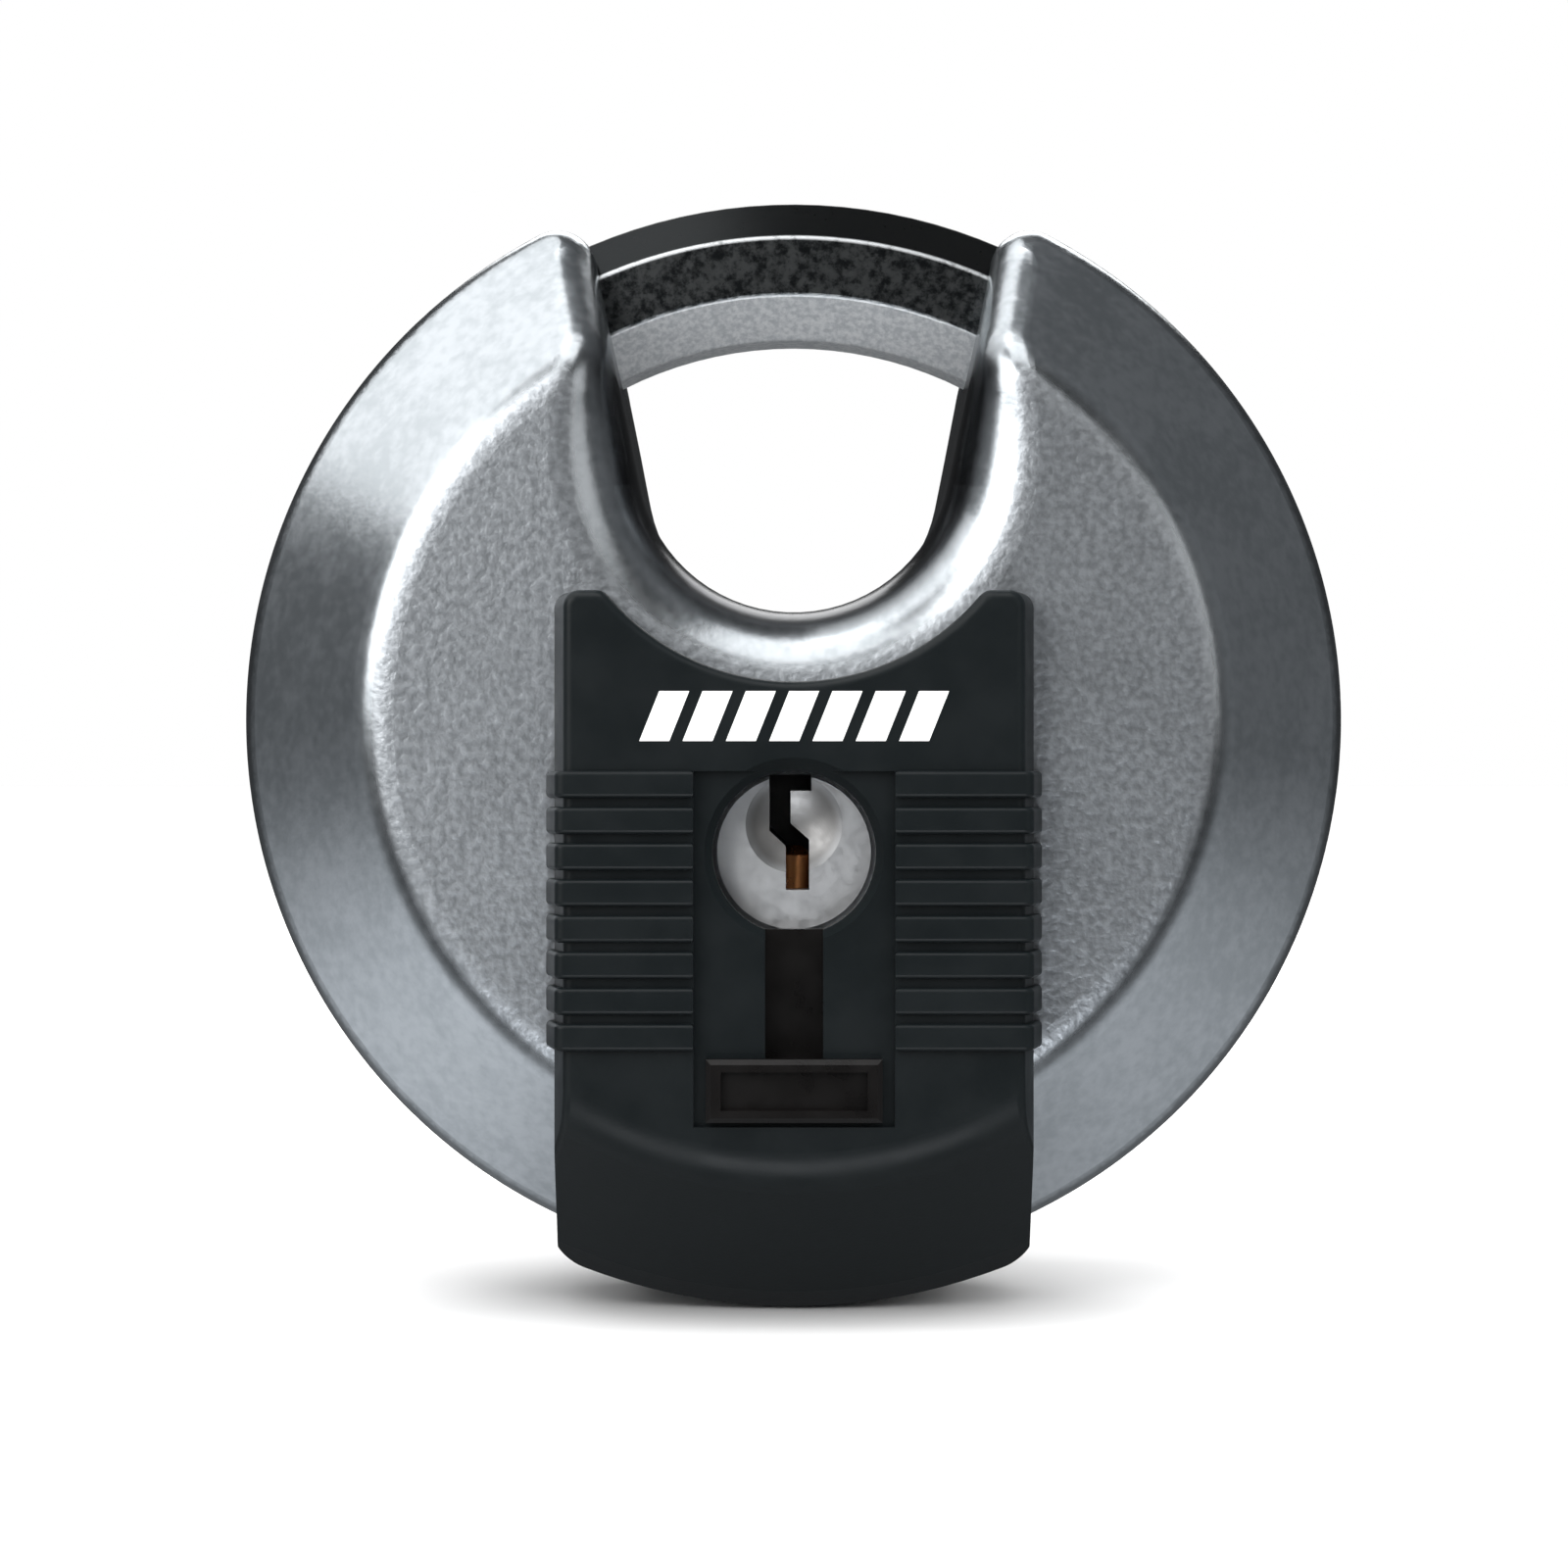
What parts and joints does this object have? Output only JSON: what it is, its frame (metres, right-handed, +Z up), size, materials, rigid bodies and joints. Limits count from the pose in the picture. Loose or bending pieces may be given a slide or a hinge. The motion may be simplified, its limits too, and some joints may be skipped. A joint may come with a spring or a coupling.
{
  "type": "disc padlock",
  "caption": "Round shrouded padlock with a thick octagonal bar turning inside its disc body, key cylinder, sliding dust shutter and plastic bumper.",
  "frame": {"origin": "middle of the exposed shackle bar, on the bar's centre line, where the lock hangs from a hasp", "axes": "+Z up towards the shackle, +X to the right seen from the front, -Y out of the key face, +Y out of the back pad"},
  "size_m": [0.0702, 0.0346, 0.0707],
  "materials": {
    "shell_steel": "bead-blasted, satin",
    "bar_steel": "satin",
    "core_steel": "machined",
    "gear_steel": "machined",
    "bright_steel": "bright zinc",
    "plug_metal": "satin nickel",
    "brass": "machined",
    "black_plastic": "fine moulded",
    "white_ink": "smooth",
    "spring_steel": "bright"
  },
  "bodies": {
    "lock_body": {"front_shell": "shell_steel", "rear_shell": "shell_steel", "seam_bead": "shell_steel", "core_front": "core_steel", "core_rear": "core_steel", "gear_cover": "core_steel", "drill_plate": "core_steel", "core_screws": "bright_steel", "core_dowels": "bright_steel", "socket_stop": "core_steel", "travel_stop": "core_steel", "cylinder_housing": "brass", "pin_cap": "brass", "driver_pins": "brass", "pin_springs": "spring_steel", "bumper": "black_plastic", "bumper_screws": "bright_steel", "front_mark": "white_ink"},
    "shackle_body": {"shackle": "bar_steel", "sector_gear": "gear_steel", "sector_rivets": "bright_steel"},
    "plug_body": {"plug": "plug_metal", "key_pins": "brass", "drive_gear": "gear_steel", "gear_screw": "bright_steel", "plug_clip": "spring_steel"},
    "shutter_body": {"dust_shutter": "black_plastic", "shutter_thumb": "black_plastic"}
  },
  "joints": [
    {"name": "shackle_turn", "type": "hinge", "parent": "lock_body", "child": "shackle_body", "pos_m": [0, 0, -0.0291], "axis": [0, 1, 0], "range_deg": [0, 62]},
    {"name": "plug_turn", "type": "hinge", "parent": "lock_body", "child": "plug_body", "pos_m": [0, 0, -0.03735], "axis": [0, 1, 0], "range_deg": [0, 106.3]},
    {"name": "shutter_slide", "type": "slide", "parent": "lock_body", "child": "shutter_body", "axis": [0, 0, 1], "range_m": [0, 0.0099]}
  ],
  "couplings": [
    {"joint": "plug_turn", "follows": "shackle_turn", "ratio": 1.7143}
  ]
}
